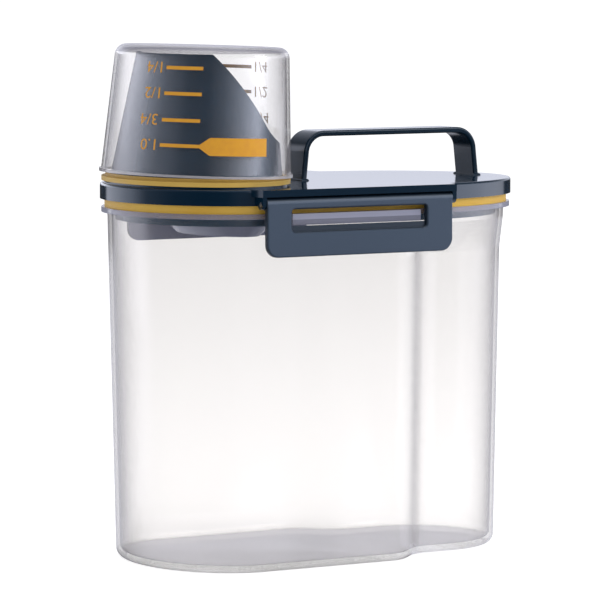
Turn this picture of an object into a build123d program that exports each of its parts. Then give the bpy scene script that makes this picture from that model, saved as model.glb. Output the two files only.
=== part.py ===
from build123d import *
from math import cos, radians, sin
import os

# Dry food keeper: clear drum, clip-on lid with pouring spout, and a measuring cup stored over the spout.
# X runs along the length with the spout at the -X end, -Y is the front, Z is up.
# The origin is at the middle of the footprint, on the underside of the drum.

# Lid outline: a straight middle between two half ellipses
lid_length = 192.0
lid_half_width = 56.5
spout_end_reach = 45.5
grip_end_reach = 72.0

# Heights above the table
rim_z = 153.8
shoulder_top_drop = 6.8
shoulder_bottom_drop = 20.8
seal_height = 3.6
band_height = 6.9

# Drum
wall = 1.8
floor = 3.0
wall_inset_top = 3.2
wall_inset_bottom = 6.6
base_edge_radius = 4.5
rim_flange_thickness = 2.2
rim_flange_inset = 0.6
grip_half_width_bottom = 36.0
grip_half_width_top = 39.0
grip_end_inset_bottom = 6.7
grip_end_inset_top = 4.5
grip_step_start_x = 13.0
grip_step_end_x = 41.0
grip_end_angle = 60.0

# Lid
cover_top_thickness = 2.5
cover_wall = 2.2
cover_edge_radius = 1.0
plug_plate = 2.2
plug_fit = 0.4
skirt_seal_gap = 0.2
skirt_wall = 1.6
skirt_drop = 9.1
support_rib_inset = 5.0
support_rib_width = 1.5

# Lid gasket
seal_inset = 2.0
seal_lip_gap = 0.4
seal_lip_width = 1.2
seal_lip_drop = 2.2

# Spout
spout_x = -58.3
spout_reach_foot = 33.2
spout_half_width_foot = 49.2
spout_reach_loss = 7.7
spout_width_loss = 9.2
spout_top_shift = 4.8
spout_height = 56.5
spout_wall = 1.8
spout_base = 1.8
spout_flange_height = 1.0
spout_flange_reach = 2.0
mouth_start_x = -68.0
mouth_knee_x = -43.5
mouth_knee_drop = 36.8
mouth_knee_radius = 20.0
mouth_end_x = -20.0
mouth_end_drop = 40.8
throat_shift = 11.3
throat_reach_loss = 13.7
throat_width_loss = 15.2
throat_drop = 22.0
throat_taper_height = 5.5
throat_taper = 6.0
throat_fit = 0.3

# Ring round the foot of the spout
ring_fit = 0.2
ring_bead_width = 1.3
ring_flange_width = 3.1
ring_height = 2.0
ring_bead_height = 1.4
ring_bead_fit = 0.7

# Measuring cup
cup_height = 55.4
cup_wall = 1.4
cup_end = 1.6
cup_end_reach_loss = 3.7
cup_end_width_loss = 4.2
cup_end_shift = 2.1
cup_edge_radius = 4.4
cup_lip_reach = 0.7
cup_lip_height = 1.5
cup_tilt = 1.5
cup_seat_gap = 0.2

# Carry handle
handle_x = 36.9
handle_foot_length = 92.0
handle_top_length = 87.4
handle_rise = 21.7
handle_thickness = 2.5
handle_width = 15.6
handle_corner_radius = 10.0
handle_edge_radius = 0.8
handle_slot_fit = 0.2
handle_collar_reach = 0.6
handle_collar_height = 0.8
handle_collar_bevel = 0.48
handle_barb_reach = 0.9
handle_barb_height = 1.4

# Side clips and their hinges
latch_x = -12.2
latch_length = 92.4
latch_drop = 22.6
latch_thickness = 2.4
latch_corner_radius = 5.5
latch_edge_radius = 0.7
barrel_radius = 2.7
hinge_offset = 3.3
hinge_below_ledge = 3.0
pin_radius = 1.0
pin_running_fit = 0.05
pin_seat_fit = 0.02
pin_end_recess = 0.2
lug_width = 2.0
lug_gap = 0.2
lug_radius = 2.2
ledge_thickness = 3.0
ledge_reach = 5.7
ledge_bevel = 1.0
ledge_root = 3.0
window_length = 67.0
window_height = 9.5
window_shift = -0.5
window_corner_radius = 1.5
window_bevel = 0.8
window_top_overlap = 0.3
sill_depth = 1.5
sill_below_tab = 0.2
tab_height = 4.8
tab_side_fit = 1.5
tab_latch_gap = 0.3
tab_thickness = 7.0

# How far a cut runs past the face that it opens
cut_margin = 1.0

# Positions that follow from the sizes above
shoulder_top_z = rim_z - shoulder_top_drop
shoulder_bottom_z = rim_z - shoulder_bottom_drop
band_bottom_z = rim_z + seal_height
lid_top_z = band_bottom_z + band_height
cover_underside_z = lid_top_z - cover_top_thickness
plug_top_z = band_bottom_z + plug_plate
spout_end_x = -lid_length / 2 + spout_end_reach
grip_end_x = lid_length / 2 - grip_end_reach
hinge_y = lid_half_width + hinge_offset
hinge_z = lid_top_z - ledge_thickness - hinge_below_ledge
latch_outer_y = hinge_y + barrel_radius
latch_inner_y = latch_outer_y - latch_thickness
latch_bottom_z = hinge_z - latch_drop
ring_bottom_z = lid_top_z + spout_flange_height
ring_top_z = ring_bottom_z + ring_height
window_top_z = hinge_z - barrel_radius + window_top_overlap
window_x = latch_x + window_shift
seal_lip_inset = wall_inset_top + wall + seal_lip_gap
seal_inner_inset = seal_lip_inset + seal_lip_width
skirt_inset = seal_inner_inset + skirt_seal_gap
spout_reach_top = spout_reach_foot - spout_reach_loss
spout_half_width_top = spout_half_width_foot - spout_width_loss
throat_x = spout_x + throat_shift
throat_reach = spout_reach_foot - throat_reach_loss
throat_half_width = spout_half_width_foot - throat_width_loss
ring_bead_growth = ring_fit + ring_bead_width
cup_reach_mouth = spout_reach_foot + ring_bead_growth + ring_bead_fit + cup_wall
cup_half_width_mouth = spout_half_width_foot + ring_bead_growth + ring_bead_fit + cup_wall


def lid_outline(inset, z):
    """Lid outline drawn in by an inset, as a face at height z."""
    half = lid_half_width - inset
    left = EllipticalCenterArc((spout_end_x, 0), spout_end_reach - inset, half, 90, arc_size=180)
    right = EllipticalCenterArc((grip_end_x, 0), grip_end_reach - inset, half, -90, arc_size=180)
    front = Line((spout_end_x, -half), (grip_end_x, -half))
    back = Line((grip_end_x, half), (spout_end_x, half))
    return Pos(0, 0, z) * make_face([left, front, right, back])


def prism(inset, low, high):
    """Upright block with the lid outline."""
    return extrude(lid_outline(inset, low), high - low)


def oval(x, reach, half_width, z):
    """Ellipse face about a point on the centre line."""
    return Pos(x, 0, z) * Ellipse(reach, half_width)


def tapered_oval(low, high):
    """Block between two ellipses, each given as x, reach, half width and height."""
    return loft([oval(*low), oval(*high)], ruled=True)


def mouth_outline(inset, z):
    """Full oval of the drum, split where the grip end's edges meet it."""
    half = lid_half_width - inset
    reach = grip_end_reach - inset
    centre = (grip_end_x, 0)
    edges = [
        EllipticalCenterArc((spout_end_x, 0), spout_end_reach - inset, half, 90, arc_size=180),
        Line((spout_end_x, -half), (grip_step_start_x, -half)),
        Line((grip_step_start_x, -half), (grip_end_x, -half)),
        EllipticalCenterArc(centre, reach, half, -90, arc_size=90 - grip_end_angle),
        EllipticalCenterArc(centre, reach, half, -grip_end_angle, arc_size=2 * grip_end_angle),
        EllipticalCenterArc(centre, reach, half, grip_end_angle, arc_size=90 - grip_end_angle),
        Line((grip_end_x, half), (grip_step_start_x, half)),
        Line((grip_step_start_x, half), (spout_end_x, half)),
    ]
    return Pos(0, 0, z) * make_face(edges)


def grip_outline(inset, half_width, end_inset, z):
    """Drum outline that steps in from the full oval to a narrower round-ended grip."""
    half = lid_half_width - inset
    end_x = lid_length / 2 - end_inset - half_width
    along = (1, 0)
    back_along = (-1, 0)
    edges = [
        EllipticalCenterArc((spout_end_x, 0), spout_end_reach - inset, half, 90, arc_size=180),
        Line((spout_end_x, -half), (grip_step_start_x, -half)),
        Spline((grip_step_start_x, -half), (grip_step_end_x, -half_width), tangents=(along, along)),
        Line((grip_step_end_x, -half_width), (end_x, -half_width)),
        CenterArc((end_x, 0), half_width, -90, 180),
        Line((end_x, half_width), (grip_step_end_x, half_width)),
        Spline((grip_step_end_x, half_width), (grip_step_start_x, half), tangents=(back_along, back_along)),
        Line((grip_step_start_x, half), (spout_end_x, half)),
    ]
    return Pos(0, 0, z) * make_face(edges)


def drum_form(offset, low, edge_radius):
    """Drum shape drawn in by an offset, from height low up to the rim, with a rounded lower edge."""
    draft = (wall_inset_bottom - wall_inset_top) / rim_z
    narrow_draft = (grip_half_width_top - grip_half_width_bottom) / shoulder_bottom_z
    end_draft = (grip_end_inset_bottom - grip_end_inset_top) / shoulder_bottom_z

    def grip_at(z):
        return grip_outline(
            wall_inset_bottom - draft * z + offset,
            grip_half_width_bottom + narrow_draft * z - offset,
            grip_end_inset_bottom - end_draft * z + offset,
            z,
        )

    def mouth_at(z):
        return mouth_outline(wall_inset_bottom - draft * z + offset, z)

    lower = loft([grip_at(low), grip_at(shoulder_bottom_z)], ruled=True)
    lower = fillet(lower.edges().group_by(Axis.Z)[0], edge_radius)
    shoulder = loft([grip_at(shoulder_bottom_z), mouth_at(shoulder_top_z)], ruled=True)
    upper = loft([mouth_at(shoulder_top_z), mouth_at(rim_z)], ruled=True)
    return lower + shoulder + upper


def container_body():
    """Clear drum with its rim flange and the two tabs that the clips close over."""
    flange = prism(rim_flange_inset, rim_z - rim_flange_thickness, rim_z)
    body = drum_form(0, 0, base_edge_radius) + flange
    tab_length = window_length - 2 * tab_side_fit
    tab_y = latch_inner_y - tab_latch_gap - tab_thickness / 2
    tab_z = rim_z - tab_height / 2
    for side in (-1, 1):
        body += Pos(window_x, side * tab_y, tab_z) * Box(tab_length, tab_thickness, tab_height)
    return body - drum_form(wall, floor, base_edge_radius - wall)


def throat(grow, low, high):
    """Straight oval plug of the throat's outer size plus an all-round margin."""
    return extrude(oval(throat_x, throat_reach + grow, throat_half_width + grow, low), high - low)


def hinge_cylinder(side, x, radius, length):
    """Cylinder along the hinge line of one side, centred at x."""
    return Pos(x, side * hinge_y, hinge_z) * Rot(0, 90, 0) * Cylinder(radius, length)


def hinge_ledge(side):
    """Ledge over one clip with a lug at each end of the clip."""
    lug_length = latch_length + 2 * (lug_gap + lug_width)
    edge_y = lid_half_width + ledge_reach
    root_y = lid_half_width - ledge_root
    half = lug_length / 2
    bevel = ledge_bevel * (edge_y - root_y) / ledge_reach
    plan = Polyline(
        (latch_x - half - bevel, side * root_y),
        (latch_x - half, side * edge_y),
        (latch_x + half, side * edge_y),
        (latch_x + half + bevel, side * root_y),
        close=True,
    )
    ledge = extrude(Pos(0, 0, lid_top_z - ledge_thickness) * make_face(plan), ledge_thickness)
    for end in (-1, 1):
        lug_x = latch_x + end * (lug_length - lug_width) / 2
        web_width = hinge_y - root_y
        web_height = lid_top_z - hinge_z
        web_y = side * (root_y + web_width / 2)
        ledge += Pos(lug_x, web_y, hinge_z + web_height / 2) * Box(lug_width, web_width, web_height)
        knuckle_height = ledge_thickness / 2 + lid_top_z - ledge_thickness - hinge_z
        knuckle_z = hinge_z + knuckle_height / 2
        ledge += Pos(lug_x, side * hinge_y, knuckle_z) * Box(lug_width, 2 * lug_radius, knuckle_height)
        ledge += hinge_cylinder(side, lug_x, lug_radius, lug_width)
    return ledge


def handle_leg_x(end, z):
    """Outer face of a handle leg at height z, for the end at -X (-1) or +X (1)."""
    lean = (handle_foot_length - handle_top_length) / 2
    rise = (z - lid_top_z) / handle_rise
    return handle_x + end * (handle_foot_length / 2 - lean * max(rise, 0))


def lid_cover():
    """Lid shell: top plate, edge band, hinge ledges, spout hole and handle slots."""
    block = prism(0, band_bottom_z, lid_top_z)
    block = fillet(block.edges().group_by(Axis.Z)[-1], cover_edge_radius)
    for side in (-1, 1):
        block += hinge_ledge(side)
    block -= prism(cover_wall, band_bottom_z - cut_margin, cover_underside_z)
    block -= throat(throat_fit, band_bottom_z, lid_top_z + cut_margin)
    for end in (-1, 1):
        slot_x = handle_x + end * (handle_foot_length - handle_thickness) / 2
        slot = Box(
            handle_thickness + 2 * handle_slot_fit,
            handle_width + 2 * handle_slot_fit,
            2 * (cover_top_thickness + cut_margin),
        )
        block -= Pos(slot_x, 0, lid_top_z) * slot
    for side in (-1, 1):
        for end in (-1, 1):
            lug_x = latch_x + end * (latch_length / 2 + lug_gap + lug_width / 2)
            block -= hinge_cylinder(side, lug_x, pin_radius + pin_seat_fit, lug_width + cut_margin)
    return block


def inner_lid():
    """Plug under the cover: plate, skirt into the mouth and a rib that carries the cover."""
    plate_inset = cover_wall + plug_fit
    plug = prism(plate_inset, band_bottom_z, plug_top_z)
    plug += prism(skirt_inset, band_bottom_z - skirt_drop, band_bottom_z)
    plug -= prism(skirt_inset + skirt_wall, band_bottom_z - skirt_drop - cut_margin, band_bottom_z)
    rib = prism(support_rib_inset, plug_top_z, cover_underside_z)
    rib_inside = support_rib_inset + support_rib_width
    rib -= prism(rib_inside, plug_top_z - cut_margin, cover_underside_z + cut_margin)
    return plug + rib - throat(throat_fit, band_bottom_z - cut_margin, plug_top_z + cut_margin)


def lid_seal():
    """Gasket between the drum's rim and the lid, with a lip down inside the mouth."""
    ring = prism(seal_inset, rim_z, band_bottom_z)
    lip_bottom_z = rim_z - seal_lip_drop
    ring += prism(seal_lip_inset, lip_bottom_z, rim_z)
    return ring - prism(seal_inner_inset, lip_bottom_z - cut_margin, band_bottom_z + cut_margin)


def spout_cone(inset, low):
    """Spout body drawn in by an inset, from height low to the spout's top."""
    top_z = lid_top_z + spout_height
    share = (low - lid_top_z) / spout_height
    low_oval = (
        spout_x + spout_top_shift * share,
        spout_reach_foot + (spout_reach_top - spout_reach_foot) * share - inset,
        spout_half_width_foot + (spout_half_width_top - spout_half_width_foot) * share - inset,
        low,
    )
    top_oval = (
        spout_x + spout_top_shift,
        spout_reach_top - inset,
        spout_half_width_top - inset,
        top_z,
    )
    return tapered_oval(low_oval, top_oval)


def pour_spout():
    """Pouring chute: an oblique mouth on a flanged foot, with the throat down through the lid."""
    top_z = lid_top_z + spout_height
    flange_reach = spout_reach_foot + spout_flange_reach
    flange_half_width = spout_half_width_foot + spout_flange_reach
    flange = extrude(oval(spout_x, flange_reach, flange_half_width, lid_top_z), spout_flange_height)
    chute = spout_cone(0, lid_top_z) + flange - spout_cone(spout_wall, lid_top_z + spout_base)
    over_z = top_z + cut_margin
    opening = make_face(
        Polyline(
            (mouth_start_x, over_z),
            (mouth_start_x, top_z),
            (mouth_knee_x, top_z - mouth_knee_drop),
            (mouth_end_x, top_z - mouth_end_drop),
            (mouth_end_x, over_z),
            close=True,
        )
    )
    knee = opening.vertices().sort_by(Axis.X)[2]
    opening = fillet(knee, mouth_knee_radius)
    chute -= extrude(Plane.XZ * opening, spout_half_width_foot + cut_margin, both=True)
    taper_top_z = lid_top_z - throat_drop + throat_taper_height
    end_z = lid_top_z - throat_drop
    end_reach = throat_reach - throat_taper
    end_half_width = throat_half_width - throat_taper
    tube = throat(0, taper_top_z, lid_top_z + spout_base)
    tube += tapered_oval(
        (throat_x, end_reach, end_half_width, end_z),
        (throat_x, throat_reach, throat_half_width, taper_top_z),
    )
    bore = throat(-spout_wall, taper_top_z, lid_top_z + spout_base + cut_margin)
    bore += tapered_oval(
        (throat_x, end_reach - spout_wall, end_half_width - spout_wall, end_z),
        (throat_x, throat_reach - spout_wall, throat_half_width - spout_wall, taper_top_z),
    )
    return chute + tube - bore


def spout_seal():
    """Ring round the spout's foot: a flange for the cup's rim and a bead that fills its mouth."""

    def block(growth, low, height):
        return extrude(oval(spout_x, spout_reach_foot + growth, spout_half_width_foot + growth, low), height)

    ring = block(ring_fit + ring_flange_width, ring_bottom_z, ring_height)
    ring += block(ring_bead_growth, ring_top_z, ring_bead_height)
    return ring - block(ring_fit, ring_bottom_z, ring_height + ring_bead_height)


def cup_form(inset, height, edge_radius):
    """Solid of the cup drawn in by an inset: tapering upwards and rounded at its closed end."""
    edge_steps = 6

    def section(z, edge_inset):
        share = z / cup_height
        reach = cup_reach_mouth - cup_end_reach_loss * share - inset - edge_inset
        half_width = cup_half_width_mouth - cup_end_width_loss * share - inset - edge_inset
        return oval(cup_end_shift * share, reach, half_width, z)

    round_start = height - edge_radius
    turns = [radians(90 * step / edge_steps) for step in range(edge_steps + 1)]
    rounded = []
    for turn in turns:
        rounded.append(section(round_start + edge_radius * sin(turn), edge_radius * (1 - cos(turn))))
    return loft([section(0, 0), section(round_start, 0)], ruled=True) + loft(rounded)


def measuring_cup():
    """Clear cup stored upside down over the spout, its closed end up, leaning a little on the ring."""
    cup = cup_form(0, cup_height, cup_edge_radius)
    lip_reach = cup_reach_mouth + cup_lip_reach
    lip_half_width = cup_half_width_mouth + cup_lip_reach
    cup += extrude(oval(0, lip_reach, lip_half_width, 0), cup_lip_height)
    cup -= cup_form(cup_wall, cup_height - cup_end, cup_edge_radius - cup_wall)
    seat_z = ring_top_z + cup_seat_gap + lip_reach * sin(radians(cup_tilt))
    return Pos(spout_x, 0, seat_z) * Rot(0, cup_tilt, 0) * cup


def carry_handle():
    """Strap handle whose legs snap through the cover, with a collar round each foot."""
    top_z = lid_top_z + handle_rise
    outer_points = [
        (handle_leg_x(-1, lid_top_z), lid_top_z),
        (handle_leg_x(-1, top_z), top_z),
        (handle_leg_x(1, top_z), top_z),
        (handle_leg_x(1, lid_top_z), lid_top_z),
    ]
    inner_top_z = top_z - handle_thickness
    inner_points = [
        (handle_leg_x(-1, lid_top_z) + handle_thickness, lid_top_z),
        (handle_leg_x(-1, inner_top_z) + handle_thickness, inner_top_z),
        (handle_leg_x(1, inner_top_z) - handle_thickness, inner_top_z),
        (handle_leg_x(1, lid_top_z) - handle_thickness, lid_top_z),
    ]
    hoop = make_face(Polyline(*outer_points, close=True))
    hoop = fillet(hoop.vertices().group_by(Axis.Y)[-1], handle_corner_radius)
    gap = make_face(Polyline(*inner_points, close=True))
    gap = fillet(gap.vertices().group_by(Axis.Y)[-1], handle_corner_radius - handle_thickness)
    strap = extrude(Plane.XZ * (hoop - gap), handle_width / 2, both=True)
    feet = strap.faces().sort_by(Axis.Z)[:2]
    long_edges = strap.edges() - strap.edges().filter_by(Axis.Y) - feet.edges()
    strap = fillet(long_edges, handle_edge_radius)
    leg_bottom_z = cover_underside_z - handle_barb_height
    for end in (-1, 1):
        leg_x = handle_x + end * (handle_foot_length - handle_thickness) / 2
        leg_height = lid_top_z - leg_bottom_z
        leg = Box(handle_thickness, handle_width, leg_height)
        strap += Pos(leg_x, 0, leg_bottom_z + leg_height / 2) * leg
        collar = Box(
            handle_thickness + 2 * handle_collar_reach,
            handle_width + 2 * handle_collar_reach,
            handle_collar_height,
        )
        collar = chamfer(collar.edges().group_by(Axis.Z)[-1], handle_collar_bevel)
        strap += Pos(leg_x, 0, lid_top_z + handle_collar_height / 2) * collar
        barb = Box(handle_thickness + 2 * handle_barb_reach, handle_width, handle_barb_height)
        barb = chamfer(barb.edges().filter_by(Axis.Y).group_by(Axis.Z)[0], handle_barb_reach)
        strap += Pos(leg_x, 0, leg_bottom_z + handle_barb_height / 2) * barb
    return strap


def side_latch(side):
    """Clip that hangs on its pin and closes over the drum's tab, with a window and a sill for the tab."""
    plate_height = hinge_z - latch_bottom_z
    plate_y = side * (latch_outer_y - latch_thickness / 2)
    plate = Box(latch_length, latch_thickness, plate_height)
    plate = fillet(plate.edges().filter_by(Axis.Y).group_by(Axis.Z)[0], latch_corner_radius)
    outer_face = plate.faces().filter_by(Axis.Y).sort_by(Axis.Y)[0 if side < 0 else -1]
    lower_edges = outer_face.edges().sort_by(Axis.Z)[:-1]
    plate = fillet(lower_edges, latch_edge_radius)
    clip = Pos(latch_x, plate_y, latch_bottom_z + plate_height / 2) * plate
    clip += hinge_cylinder(side, latch_x, barrel_radius, latch_length)
    window_z = window_top_z - window_height / 2
    window = RectangleRounded(window_length, window_height, window_corner_radius)
    flare_length = window_length + 2 * window_bevel
    flare_height = window_height + 2 * window_bevel
    flare = RectangleRounded(flare_length, flare_height, window_corner_radius + window_bevel)
    outward = Plane(origin=(window_x, side * latch_outer_y, window_z), x_dir=(1, 0, 0), z_dir=(0, side, 0))
    clip -= extrude(outward * window, -sill_depth)
    bevel_floor = outward.offset(-window_bevel)
    clip -= loft([bevel_floor * window, outward * flare], ruled=True)
    through_height = window_top_z - (rim_z - tab_height - sill_below_tab)
    through_z = window_top_z - through_height / 2
    clip -= Pos(window_x, plate_y, through_z) * Box(window_length, 2 * latch_thickness, through_height)
    return clip - hinge_cylinder(side, latch_x, pin_radius + pin_running_fit, latch_length + cut_margin)


def latch_pin(side):
    """Hinge pin through one clip and its two lugs."""
    pin_length = latch_length + 2 * (lug_gap + lug_width - pin_end_recess)
    return hinge_cylinder(side, latch_x, pin_radius, pin_length)


parts = {
    "container_body": container_body(),
    "lid_cover": lid_cover(),
    "inner_lid": inner_lid(),
    "lid_seal": lid_seal(),
    "pour_spout": pour_spout(),
    "spout_seal": spout_seal(),
    "measuring_cup": measuring_cup(),
    "carry_handle": carry_handle(),
}
for place, side in (("front", -1), ("rear", 1)):
    parts[f"{place}_latch"] = side_latch(side)
    parts[f"{place}_latch_pin"] = latch_pin(side)

os.makedirs("parts", exist_ok=True)
for name, shape in parts.items():
    export_step(shape, f"parts/{name}.step")
    print(name, round(shape.volume), shape.is_valid, len(shape.solids()))
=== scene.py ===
import bpy
import math
from mathutils import Matrix, Vector


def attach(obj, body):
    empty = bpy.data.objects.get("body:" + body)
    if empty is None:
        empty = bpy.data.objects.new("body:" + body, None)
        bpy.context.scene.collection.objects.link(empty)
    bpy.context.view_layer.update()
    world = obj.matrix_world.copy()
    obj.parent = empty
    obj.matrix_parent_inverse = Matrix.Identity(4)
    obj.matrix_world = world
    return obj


# finishes, printed marks, studio and camera for the pet food storage container
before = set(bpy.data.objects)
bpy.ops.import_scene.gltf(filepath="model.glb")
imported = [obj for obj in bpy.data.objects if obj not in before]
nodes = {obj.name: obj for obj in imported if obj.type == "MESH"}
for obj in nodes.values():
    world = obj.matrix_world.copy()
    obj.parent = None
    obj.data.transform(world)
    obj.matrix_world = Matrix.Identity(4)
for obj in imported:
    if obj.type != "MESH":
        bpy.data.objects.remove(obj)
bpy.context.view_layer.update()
print("frame loaded:", len(nodes), "pieces")


class Wire:
    # one socket of a node tree, so that sums on it read as sums
    def __init__(self, tree, socket):
        self.tree = tree
        self.socket = socket

    def maths(self, operation, a, b):
        node = self.tree.nodes.new("ShaderNodeMath")
        node.operation = operation
        connect(self.tree, node.inputs[0], a)
        connect(self.tree, node.inputs[1], b)
        return Wire(self.tree, node.outputs[0])

    def __add__(self, other):
        return self.maths("ADD", self, other)

    def __sub__(self, other):
        return self.maths("SUBTRACT", self, other)

    def __rsub__(self, other):
        return self.maths("SUBTRACT", other, self)

    def __mul__(self, other):
        return self.maths("MULTIPLY", self, other)

    __radd__ = __add__
    __rmul__ = __mul__

    def atLeast(self, other):
        return self.maths("MAXIMUM", self, other)

    def atMost(self, other):
        return self.maths("MINIMUM", self, other)

    def above(self, limit):
        return self.maths("GREATER_THAN", self, limit)


def connect(tree, socket, value):
    if isinstance(value, Wire):
        tree.links.new(value.socket, socket)
    elif isinstance(value, tuple) and len(value) == 3 and len(socket.default_value) == 4:
        socket.default_value = (*value, 1.0)
    else:
        socket.default_value = value


def fillRamp(ramp, stops):
    while len(ramp.elements) > 1:
        ramp.elements.remove(ramp.elements[-1])
    for number, (place, tone) in enumerate(stops):
        stop = ramp.elements.new(place) if number else ramp.elements[0]
        stop.position = place
        stop.color = (tone, tone, tone, 1.0)


class Finish:
    # the node tree of a material or of the world
    def __init__(self, owner):
        owner.use_nodes = True
        self.owner = owner
        self.tree = owner.node_tree
        self.tree.nodes.clear()

    def node(self, kind, settings=None, inputs=None, output=0):
        node = self.tree.nodes.new(kind)
        for key, value in (settings or {}).items():
            if key == "stops":
                fillRamp(node.color_ramp, value)
            else:
                setattr(node, key, value)
        for key, value in (inputs or {}).items():
            connect(self.tree, node.inputs[key], value)
        return Wire(self.tree, node.outputs[output]) if node.outputs else None

    def blend(self, share, low, high):
        # colour between low and high
        return self.node("ShaderNodeMix", {"data_type": "RGBA"}, {0: share, 6: low, 7: high}, 2)

    def place(self):
        # position on the object, in metres
        return self.node("ShaderNodeTexCoord", output="Object")

    def axis(self, place, letter):
        return self.node("ShaderNodeSeparateXYZ", None, {0: place}, letter)

    def noise(self, place, scale, detail=2.0, roughness=0.5):
        values = {"Vector": place, "Scale": scale, "Detail": detail, "Roughness": roughness}
        return self.node("ShaderNodeTexNoise", None, values)

    def ramp(self, value, stops):
        return self.node("ShaderNodeValToRGB", {"stops": stops}, {0: value})

    def bump(self, height, strength, distance):
        return self.node("ShaderNodeBump", None, {"Strength": strength, "Distance": distance, "Height": height})

    def mixShader(self, share, first, second):
        return self.node("ShaderNodeMixShader", None, {0: share, 1: first, 2: second})

    def done(self, shader, kind="ShaderNodeOutputMaterial"):
        self.node(kind, None, {"Surface": shader})
        return self.owner


def newFinish(name):
    return Finish(bpy.data.materials.new(name))


def fromScreen(*parts):
    # a colour as a picture editor gives it, 0 to 255, in the renderer's own values
    shares = [part / 255 for part in parts]
    return tuple(share / 12.92 if share <= 0.04 else ((share + 0.055) / 1.055) ** 2.4 for share in shares)


slateSkin = {
    "ior": 1.5,
    "shine": (0.85, 0.92, 1.0),
    "grain": 900.0,
    "grainHeight": 0.000004,
    "grainStrength": 0.3,
    "toneScale": 9.0,
    "glossSpread": 0.02,
}

glossSlate = {
    **slateSkin,
    "colour": fromScreen(6, 29, 46),
    "paler": fromScreen(10, 36, 55),
    "roughness": 0.11,
}

handleSlate = {
    **slateSkin,
    "colour": fromScreen(6, 29, 44),
    "paler": fromScreen(10, 35, 52),
    "roughness": 0.16,
    "ior": 1.36,
}

plugSlate = {
    **slateSkin,
    "colour": fromScreen(34, 64, 90),
    "paler": fromScreen(41, 73, 100),
    "roughness": 0.2,
}

satinSlate = {
    **slateSkin,
    "colour": fromScreen(50, 64, 82),
    "paler": fromScreen(56, 70, 89),
    "roughness": 0.4,
    "grain": 1500.0,
    "grainHeight": 0.000012,
    # painted shade on the clip's pocket walls, edges and back
    "pocketShadeColour": fromScreen(14, 30, 44),
    "pocketShadeWithin": 0.0621,
    # painted light on the rear clip's inner face
    "paintedLightBackColour": fromScreen(136, 144, 178),
    "paintedLightBackWithin": 0.0603,
}

spoutSlate = {
    **slateSkin,
    "colour": fromScreen(2, 40, 62),
    "paler": fromScreen(8, 48, 72),
    "roughness": 0.2,
    "grain": 1200.0,
    "grainHeight": 0.000003,
    # painted light on the throat
    "throatPaintedLightColour": fromScreen(102, 108, 134),
    "throatPaintedLightBelow": 0.1572,
}


def mouldedPlastic(name, look):
    # moulded plastic: a fine skin, and a tone and gloss that change slowly over the piece
    f = newFinish(name)
    place = f.place()
    tone = f.ramp(f.noise(place, look["toneScale"], 0.0), [(0.2, 0.0), (0.8, 1.0)])
    grain = f.noise(place, look["grain"], 2.0, 0.6)
    colour = f.blend(tone, look["colour"], look["paler"])
    if "pocketShadeColour" in look:
        # painted shade: the clip's pocket walls, edges and back are painted darker than its satin face, standing in
        # for their shade
        across = f.axis(place, "Y")
        colour = f.blend((across * across).above(look["pocketShadeWithin"] ** 2), look["pocketShadeColour"], colour)
        # painted light: the rear clip's inner face is painted paler, standing in for the light it gets through the
        # clear drum
        paintedLightBackFace = across.above(0.0) * (look["paintedLightBackWithin"] - across).above(0.0)
        colour = f.blend(paintedLightBackFace, colour, look["paintedLightBackColour"])
    if "throatPaintedLightColour" in look:
        # painted light: the throat is painted a little paler, standing in for the light it gets through the clear
        # drum
        colour = f.blend(f.axis(place, "Z").above(look["throatPaintedLightBelow"]), look["throatPaintedLightColour"], colour)
    shader = f.node(
        "ShaderNodeBsdfPrincipled",
        None,
        {
            "Base Color": colour,
            "Roughness": look["roughness"] - look["glossSpread"] / 2 + look["glossSpread"] * tone,
            "Normal": f.bump(grain, look["grainStrength"], look["grainHeight"]),
            "IOR": look["ior"],
            "Specular Tint": look["shine"],
        },
    )
    return f.done(shader)


clearSkin = {
    "ior": 1.46,
    "shine": (0.9, 0.88, 0.86),
    "milkRoughness": 0.35,
    "mirrorFace": 0.035,
    "waves": 16.0,
    "waveStrength": 0.1,
    "waveHeight": 0.0003,
}

drumClear = {
    **clearSkin,
    "tint": (0.99, 0.984, 0.98),
    "haze": fromScreen(176, 173, 176),
    "faceOn": 0.05,
    "edgeOn": 0.8,
    "mirrorEdge": 0.35,
    "roughness": 0.05,
    "thickColour": fromScreen(156, 158, 180),
    "tabsFrom": 0.0567,
    "tabsHaze": 0.52,
    "rimFrom": 0.1514,
    "rimHaze": 0.4,
}

cupClear = {
    **clearSkin,
    "tint": (0.98, 0.977, 0.978),
    "haze": fromScreen(196, 193, 200),
    "faceOn": 0.02,
    "edgeOn": 0.5,
    "mirrorEdge": 0.7,
    "roughness": 0.04,
    "endColour": fromScreen(132, 130, 144),
    "endFrom": 0.2212,
    "endHaze": 0.35,
    "endMirror": 0.25,
    "lean": 0.02619,
    "mouthBelow": 0.167955,
    "mouthHaze": 0.5,
}


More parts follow.
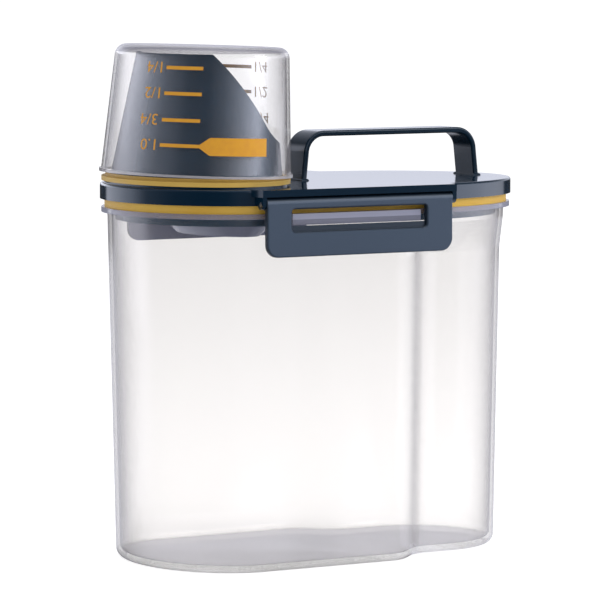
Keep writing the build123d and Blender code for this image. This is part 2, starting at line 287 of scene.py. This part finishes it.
def clearPlastic(name, look):
    # thin clear plastic: it lets the view straight through, is hazier edge-on and mirrors at a slant
    f = newFinish(name)
    place = f.place()
    wavy = f.bump(f.noise(place, look["waves"], 0.0), look["waveStrength"], look["waveHeight"])
    slant = f.node("ShaderNodeLayerWeight", None, {"Blend": 0.5}, "Facing")
    steep = slant * slant * slant
    haze = look["faceOn"] + look["edgeOn"] * steep
    mirror = look["mirrorFace"] + look["mirrorEdge"] * steep * slant * slant
    milk = look["haze"]
    if "thickColour" in look:
        # the two tabs and the rim are solid, so they look milky
        across = f.axis(place, "Y")
        tabs = (across * across).above(look["tabsFrom"] ** 2)
        rim = f.axis(place, "Z").above(look["rimFrom"])
        haze = haze + look["tabsHaze"] * tabs + look["rimHaze"] * rim
        milk = f.blend(tabs.atLeast(rim), milk, look["thickColour"])
    if "endColour" in look:
        # the thick corner of the closed end is greyer, and mirrors less
        nearEnd = f.axis(place, "Z").above(look["endFrom"])
        milk = f.blend(nearEnd, milk, look["endColour"])
        mirror = mirror * (1 - (1 - look["endMirror"]) * nearEnd)
        # the rim of the mouth is milky too, and leans with the cup
        height = look["lean"] * f.axis(place, "X") + f.axis(place, "Z")
        haze = haze + look["endHaze"] * nearEnd + look["mouthHaze"] * (1 - height.above(look["mouthBelow"]))
    clear = f.node("ShaderNodeBsdfTransparent", None, {"Color": look["tint"]})
    milky = f.node(
        "ShaderNodeBsdfPrincipled",
        None,
        {"Base Color": milk, "Roughness": look["milkRoughness"], "IOR": look["ior"], "Normal": wavy},
    )
    gloss = f.node(
        "ShaderNodeBsdfGlossy", None, {"Color": look["shine"], "Roughness": look["roughness"], "Normal": wavy}
    )
    return f.done(f.mixShader(mirror, f.mixShader(haze, clear, milky), gloss))


siliconeSkin = {
    "roughness": 0.42,
    "ior": 1.42,
    "mottle": 60.0,
    "mottleGloss": 0.08,
    "grain": 1800.0,
    "grainStrength": 0.3,
    "grainHeight": 0.00001,
}
silicone = {**siliconeSkin, "colour": fromScreen(246, 202, 92), "darker": fromScreen(238, 188, 70)}
# a darker copy of the yellow silicone for the spout ring: painted shade, as under the cup's rim
paintedShadeRingSilicone = {**siliconeSkin, "colour": fromScreen(220, 184, 96), "darker": fromScreen(210, 172, 80)}


def siliconeRubber(name, look):
    # yellow silicone: a soft sheen, faint mottling and a very fine matt skin
    f = newFinish(name)
    place = f.place()
    mottle = f.ramp(f.noise(place, look["mottle"], 3.0), [(0.2, 0.0), (0.8, 1.0)])
    shader = f.node(
        "ShaderNodeBsdfPrincipled",
        None,
        {
            "Base Color": f.blend(mottle, look["darker"], look["colour"]),
            "Roughness": look["roughness"] + look["mottleGloss"] * mottle,
            "Normal": f.bump(f.noise(place, look["grain"], 1.0), look["grainStrength"], look["grainHeight"]),
            "IOR": look["ior"],
        },
    )
    return f.done(shader)


ink = {
    "colour": fromScreen(232, 166, 40),
    "thinner": fromScreen(226, 158, 42),
    "roughness": 0.5,
    "patches": 400.0,
    "patchGloss": 0.05,
}


def printedInk(name, look):
    # screen-printed ink, a little uneven
    f = newFinish(name)
    patch = f.ramp(f.noise(f.place(), look["patches"], 3.0), [(0.3, 0.0), (0.7, 1.0)])
    shader = f.node(
        "ShaderNodeBsdfPrincipled",
        None,
        {
            "Base Color": f.blend(patch, look["thinner"], look["colour"]),
            "Roughness": look["roughness"] + look["patchGloss"] * patch,
        },
    )
    return f.done(shader)


pin = {"colour": (0.62, 0.62, 0.64), "roughness": 0.25, "streaks": 900.0, "streakGloss": 0.15}


def brushedPin(name, look):
    # the clips' steel hinge pins, hardly seen
    f = newFinish(name)
    roughness = look["roughness"] + look["streakGloss"] * f.noise(f.place(), look["streaks"])
    shader = f.node(
        "ShaderNodeBsdfPrincipled", None, {"Base Color": look["colour"], "Metallic": 1.0, "Roughness": roughness}
    )
    return f.done(shader)


satin = mouldedPlastic("satin slate plastic", satinSlate)
pinSteel = brushedPin("pin steel", pin)
orangeInk = printedInk("orange ink", ink)
finishOf = {
    "container_body": clearPlastic("clear drum", drumClear),
    "measuring_cup": clearPlastic("clear cup", cupClear),
    "lid_cover": mouldedPlastic("glossy slate plastic", glossSlate),
    "inner_lid": mouldedPlastic("plug slate plastic", plugSlate),
    "pour_spout": mouldedPlastic("spout slate plastic", spoutSlate),
    "carry_handle": mouldedPlastic("handle slate plastic", handleSlate),
    "front_latch": satin,
    "rear_latch": satin,
    "lid_seal": siliconeRubber("yellow silicone", silicone),
    "spout_seal": siliconeRubber("yellow ring silicone with painted shade", paintedShadeRingSilicone),
    "front_latch_pin": pinSteel,
    "rear_latch_pin": pinSteel,
}
for name, piece in nodes.items():
    for slot in piece.material_slots:
        slot.material = finishOf[name]
print("materials set")


cup = {
    "x": -0.0583,
    "mouthZ": 0.1684818,
    "tilt": 1.5,
    "height": 0.0554,
    "mouthReach": 0.0368,
    "mouthHalfWidth": 0.0528,
    "endReach": 0.0331,
    "endHalfWidth": 0.0486,
    "endShift": 0.0021,
    "middleReach": 0.035,
    "middleHalfWidth": 0.0507,
    "inkLift": 0.00008,
}


def cupPoint(angle, height):
    # point just off the cup's outside wall; angle runs round the oval from +X
    share = height / cup["height"]
    reach = cup["mouthReach"] + (cup["endReach"] - cup["mouthReach"]) * share
    halfWidth = cup["mouthHalfWidth"] + (cup["endHalfWidth"] - cup["mouthHalfWidth"]) * share
    wall = Vector((cup["endShift"] * share + reach * math.cos(angle), halfWidth * math.sin(angle), height))
    out = Vector((math.cos(angle) / reach, math.sin(angle) / halfWidth, 0)).normalized()
    turned = Matrix.Rotation(math.radians(cup["tilt"]), 3, "Y") @ (wall + out * cup["inkLift"])
    return turned + Vector((cup["x"], 0, cup["mouthZ"]))


def cupAngle(start, along, steps=40):
    # angle reached after a distance along the wall at mid height, positive towards +X at the front
    angle = start
    for step in range(steps):
        slope = math.hypot(cup["middleReach"] * math.sin(angle), cup["middleHalfWidth"] * math.cos(angle))
        angle += along / steps / slope
    return angle


marks = {
    "startAngle": -152.0,
    "backTurn": 167.0,
    "heights": (0.0462, 0.0353, 0.0241, 0.0134),
    "words": ("1/4", "1/2", "3/4", "1.0"),
    "barLength": 0.0188,
    "barWidth": 0.0015,
    "wordHeight": 0.0046,
    "wordGap": 0.0025,
    "wordStretch": 1.35,
    "wordCurveSteps": 4,
    "tagStart": 0.0185,
    "tagLength": 0.030,
    "tagHeight": 0.0076,
    "tagNose": 0.0055,
    "tagTip": 0.08,
}


def addMesh(name, points, faces):
    mesh = bpy.data.meshes.new(name)
    mesh.from_pydata(points, [], faces)
    mesh.update()
    piece = bpy.data.objects.new(name, mesh)
    bpy.context.collection.objects.link(piece)
    return piece


def wordShape(word):
    # a word's points and faces, its lower left corner at the origin and its height 1, and its width
    curve = bpy.data.curves.new("word", "FONT")
    curve.body = word
    curve.size = 1.0
    curve.resolution_u = marks["wordCurveSteps"]
    writer = bpy.data.objects.new("word", curve)
    bpy.context.collection.objects.link(writer)
    bpy.context.view_layer.update()
    mesh = writer.evaluated_get(bpy.context.evaluated_depsgraph_get()).to_mesh()
    points = [vertex.co.copy() for vertex in mesh.vertices]
    faces = [tuple(face.vertices) for face in mesh.polygons]
    bpy.data.objects.remove(writer)
    bpy.data.curves.remove(curve)
    left = min(point.x for point in points)
    tall = max(point.y for point in points)
    return [((point.x - left) / tall, point.y / tall) for point in points], faces


def printMarks(name, turn):
    points = []
    faces = []
    start = math.radians(marks["startAngle"] + turn)

    def put(flat, shapes):
        # flat points are a distance along the wall and a height on it
        first = len(points)
        points.extend(cupPoint(cupAngle(start, along), height) for along, height in flat)
        faces.extend(tuple(first + corner for corner in shape) for shape in shapes)

    def strip(left, right, middle, reachAt, pieces=24):
        # reachAt gives half the strip's width at a distance along it
        across = [left + (right - left) * step / pieces for step in range(pieces + 1)]
        flat = [(x, middle - reachAt(x)) for x in across] + [(x, middle + reachAt(x)) for x in across]
        put(flat, [(i, i + 1, pieces + 2 + i, pieces + 1 + i) for i in range(pieces)])

    def tagReach(x):
        opened = max(x - marks["tagStart"], 0) / marks["tagNose"] + marks["tagTip"]
        return marks["tagHeight"] / 2 * min(1.0, opened)

    tall = marks["wordHeight"]
    wide = tall * marks["wordStretch"]
    for height, word in zip(marks["heights"], marks["words"]):
        strip(0, marks["barLength"], height, lambda x: marks["barWidth"] / 2)
        shape, wordFaces = wordShape(word)
        # the cup stands upside down, so its words are turned half round
        put([(-marks["wordGap"] - x * wide, height + tall / 2 - y * tall) for x, y in shape], wordFaces)
    middle = marks["heights"][-1]
    noseEnd = marks["tagStart"] + marks["tagNose"]
    strip(marks["tagStart"], noseEnd, middle, tagReach, 8)
    strip(noseEnd, marks["tagStart"] + marks["tagLength"], middle, tagReach)
    piece = addMesh(name, points, faces)
    piece.data.materials.append(orangeInk)
    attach(piece, "cup")


printMarks("cup_marks_front", 0.0)
printMarks("cup_marks_back", marks["backTurn"])
print("cup marks printed")


studio = {
    "azimuth": -30.78,
    "elevation": 4.893,
    "distance": 1.8777,
    "lens": 253.9,
    "aim": (-0.00445, -0.00027, 0.1102),
    "floorSize": 60.0,
    "floorColour": (0.82, 0.82, 0.83),
    "floorGlow": 0.64,
    "fill": 0.55,
    "mirroredColour": (0.93, 0.96, 1.1),
    "mirroredPeak": 4.0,
    "nearPeak": 1.1,
    "farFrom": 1.52,
    "farFull": 1.8,
}

lamps = {
    "top softbox": {"place": (0.0, -0.1, 1.3), "target": (0.0, 0.0, 0.1), "width": 1.2, "power": 7.0},
    "right softbox": {"place": (0.9, -1.0, 0.95), "target": (0.0, 0.0, 0.12), "width": 0.7, "power": 6.5},
}

# what glossy plastic mirrors of the table and of the room over it:
# direction in degrees from the front, towards the right, and tone
mirroredTable = [
    (-180, 0.3),
    (-165, 0.42),
    (-150, 0.5),
    (-133, 0.42),
    (-117, 0.1),
    (-90, 0.02),
    (-60, 0.005),
    (-36, 0.01),
    (-22, 0.05),
    (33, 0.04),
    (54, 0.8),
    (80, 0.66),
    (107, 0.25),
    (130, 0.2),
    (150, 0.2),
    (180, 0.3),
]
# the table's far part has a dark stretch, which only the two ends of the lid's edge mirror
darkTone = 0.015
farTable = [(-180, darkTone), (-174, darkTone), (-170, 0.38), *mirroredTable[1:-3], (111, darkTone), (180, darkTone)]

# the room's low part is seen in upright faces, and its high part in slanted ones
lowRoom = [
    (-180, 0.16),
    (-162, 0.09),
    (-149, 0.02),
    (-136, 0.07),
    (-118, 0.1),
    (-60, 0.03),
    (-30, 0.03),
    (0, 0.12),
    (40, 0.2),
    (60, 0.12),
    (90, 0.05),
    (120, 0.08),
    (145, 0.2),
    (180, 0.16),
]
highRoom = [
    (-180, 0.6),
    (-160, 0.55),
    (-150, 0.5),
    (-138, 0.5),
    (-125, 0.22),
    (-100, 0.12),
    (-86, 0.04),
    (-60, 0.04),
    (-36, 0.18),
    (-15, 0.4),
    (8, 0.7),
    (31, 1.0),
    (54, 1.0),
    (76, 0.5),
    (97, 0.3),
    (120, 0.27),
    (149, 0.31),
    (165, 0.5),
    (180, 0.7),
]
# where the high part lies: upward share of the direction, and how much of it shows
highPart = [(0.04, 0.0), (0.08, 1.0), (0.22, 1.0), (0.36, 0.0)]


def mirroredTone(f, place, mirrored):
    x = f.axis(place, "X")
    turn = x.maths("ARCTAN2", x, f.axis(place, "Y") * -1.0)
    stops = [(angle / 360 + 0.5, tone) for angle, tone in mirrored]
    return f.ramp(turn * (0.5 / math.pi) + 0.5, stops) * studio["mirroredPeak"]


def rayIs(f, kind):
    return f.node("ShaderNodeLightPath", output="Is " + kind + " Ray")


def seenRay(f):
    # what the camera sees, straight or through something clear
    return rayIs(f, "Camera").atLeast(rayIs(f, "Transmission"))


def makeFloor():
    # white to the eye, toned like the room to glossy plastic, and a plain pale floor to the light
    half = studio["floorSize"] / 2
    floor = addMesh("floor", [(-half, -half, 0), (half, -half, 0), (half, half, 0), (-half, half, 0)], [(0, 1, 2, 3)])
    f = newFinish("floor")
    place = f.place()
    matt = f.node("ShaderNodeBsdfDiffuse", None, {"Color": studio["floorColour"]})
    glow = f.node(
        "ShaderNodeEmission", None, {"Color": (1.0, 1.0, 1.0), "Strength": seenRay(f) * studio["floorGlow"]}
    )
    plain = f.node("ShaderNodeAddShader", None, {0: matt, 1: glow})
    distance = f.node("ShaderNodeVectorMath", {"operation": "LENGTH"}, {0: place}, "Value")
    reach = 2 * studio["farFull"]  # a ramp runs from 0 to 1
    far = f.ramp(distance * (1 / reach), [(studio["farFrom"] / reach, 0.0), (studio["farFull"] / reach, 1.0)])
    near = mirroredTone(f, place, mirroredTable).atMost(studio["nearPeak"])
    tone = near + far * (mirroredTone(f, place, farTable) - near)
    toned = f.node("ShaderNodeEmission", None, {"Color": studio["mirroredColour"], "Strength": tone})
    floor.data.materials.append(f.done(f.mixShader(rayIs(f, "Glossy"), plain, toned)))


def makeWorld():
    world = bpy.data.worlds.new("studio")
    bpy.context.scene.world = world
    f = Finish(world)
    direction = f.node("ShaderNodeTexCoord", output="Generated")
    seen = seenRay(f)
    glossy = rayIs(f, "Glossy")
    up = f.ramp(f.axis(direction, "Z"), highPart)
    low = mirroredTone(f, direction, lowRoom)
    room = low + up * (mirroredTone(f, direction, highRoom) - low)
    strength = seen + glossy * room + (1 - seen.atLeast(glossy)) * studio["fill"]
    colour = f.blend(glossy, (1.0, 1.0, 1.0), studio["mirroredColour"])
    background = f.node("ShaderNodeBackground", None, {"Color": colour, "Strength": strength})
    f.done(background, "ShaderNodeOutputWorld")


def addLamp(name, place, target, width, power):
    light = bpy.data.lights.new(name, "AREA")
    light.shape = "SQUARE"
    light.size = width
    light.energy = power
    lamp = bpy.data.objects.new(name, light)
    lamp.location = place
    lamp.rotation_euler = (Vector(target) - Vector(place)).to_track_quat("-Z", "Y").to_euler()
    bpy.context.collection.objects.link(lamp)


def makeCamera():
    azimuth = math.radians(studio["azimuth"])
    elevation = math.radians(studio["elevation"])
    level = math.cos(elevation)
    away = Vector((math.sin(azimuth) * level, -math.cos(azimuth) * level, math.sin(elevation)))
    data = bpy.data.cameras.new("camera")
    data.lens = studio["lens"]
    data.sensor_width = 36.0
    data.clip_end = 100.0
    camera = bpy.data.objects.new("camera", data)
    camera.location = Vector(studio["aim"]) + away * studio["distance"]
    camera.rotation_euler = (-away).to_track_quat("-Z", "Y").to_euler()
    bpy.context.collection.objects.link(camera)
    bpy.context.scene.camera = camera


makeFloor()
makeWorld()
for name, lamp in lamps.items():
    addLamp(name, **lamp)
makeCamera()
bpy.context.scene.view_settings.view_transform = "Standard"
print("studio ready")
